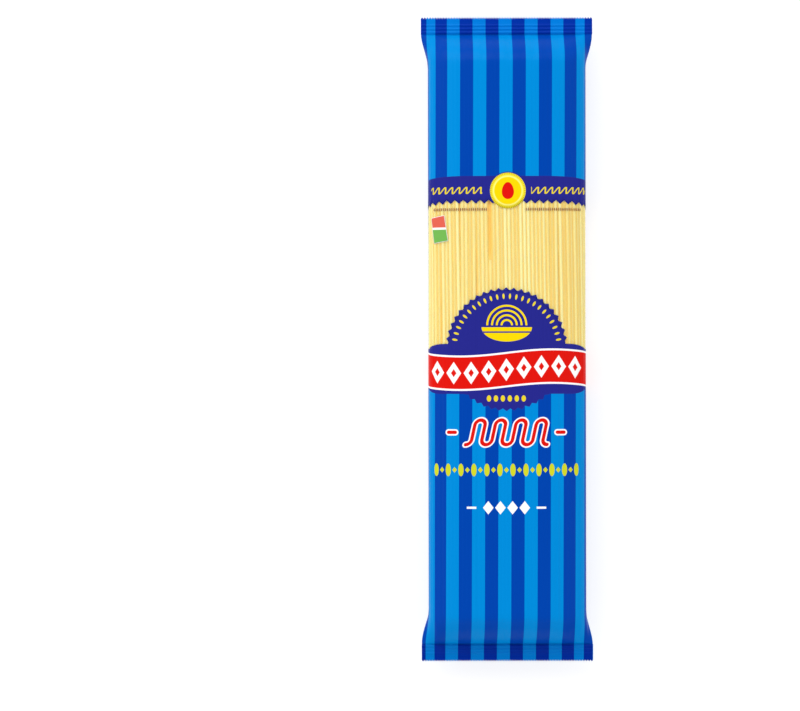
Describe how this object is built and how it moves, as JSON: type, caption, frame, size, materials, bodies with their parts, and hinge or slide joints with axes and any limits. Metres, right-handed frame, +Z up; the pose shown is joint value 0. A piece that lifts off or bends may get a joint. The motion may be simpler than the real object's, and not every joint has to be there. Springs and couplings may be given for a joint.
{
  "type": "pasta packet",
  "caption": "Flat printed film packet of long spaghetti with crimped ends and a clear window, lying on its back.",
  "frame": {"origin": "middle of the packet on the plane of its resting face", "axes": "+Y along the packet towards its top end, +Z up out of the printed front face, +X to the right"},
  "size_m": [0.0798, 0.3, 0.027],
  "materials": {
    "printed_film": "thin gloss film printed with two-tone blue stripes, a navy band and panel, and a clear window",
    "dry_pasta": "dry pale yellow durum and egg pasta, faintly translucent, fine matt surface"
  },
  "bodies": {
    "root": {"film_pack": "printed_film", "spaghetti_bundle": "dry_pasta"}
  },
  "joints": []
}
